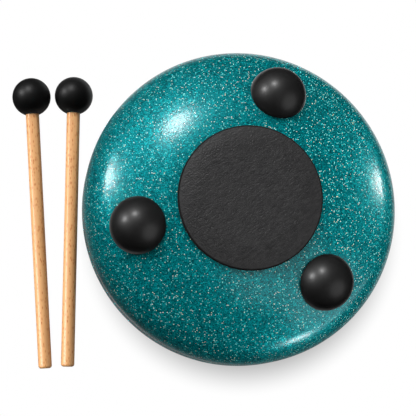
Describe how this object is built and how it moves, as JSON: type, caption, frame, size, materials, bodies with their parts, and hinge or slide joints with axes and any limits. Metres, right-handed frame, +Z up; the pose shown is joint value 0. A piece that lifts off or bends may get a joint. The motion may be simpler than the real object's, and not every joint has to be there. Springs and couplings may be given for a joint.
{
  "type": "steel tongue drum",
  "caption": "Small steel tongue drum lying on its playing face, with domed rubber feet and a round pad on its base, and a pair of rubber-headed mallets beside it.",
  "frame": {"origin": "on the drum's axis, on the flat middle of the playing shell, which is the face the drum lies on", "axes": "+Z up along the drum's axis and out through the base pad; the mallets lie beside the drum towards -X with their heads towards +Y"},
  "size_m": [0.1907, 0.1559, 0.0826],
  "materials": {
    "glitter_paint": "turquoise glitter paint under a clear gloss coat, on pressed steel",
    "seam_filler": "dark satin filler",
    "charcoal_pad": "matte, fine leathery grain",
    "pad_adhesive": "pale adhesive foam",
    "foot_rubber": "smooth satin black rubber",
    "zinc_steel": "zinc-plated",
    "mallet_rubber": "matte black rubber",
    "beech": "sanded pale beech with short fine grain"
  },
  "bodies": {
    "drum": {"playing_shell": "glitter_paint", "base_shell": "glitter_paint", "seam_bead": "seam_filler", "base_pad": "charcoal_pad", "pad_tape": "pad_adhesive", "foot_1": "foot_rubber", "foot_2": "foot_rubber", "foot_3": "foot_rubber", "foot_1_stud": "zinc_steel", "foot_2_stud": "zinc_steel", "foot_3_stud": "zinc_steel", "foot_1_weld_nut": "zinc_steel", "foot_2_weld_nut": "zinc_steel", "foot_3_weld_nut": "zinc_steel"},
    "mallet_1": {"mallet_1_head": "mallet_rubber", "mallet_1_stick": "beech"},
    "mallet_2": {"mallet_2_head": "mallet_rubber", "mallet_2_stick": "beech"}
  },
  "joints": [
    {"name": "mallet_1_lift", "type": "slide", "parent": "drum", "child": "mallet_1", "axis": [0, 0, 1], "range_m": [0, 0.15]},
    {"name": "mallet_2_lift", "type": "slide", "parent": "drum", "child": "mallet_2", "axis": [0, 0, 1], "range_m": [0, 0.15]}
  ]
}
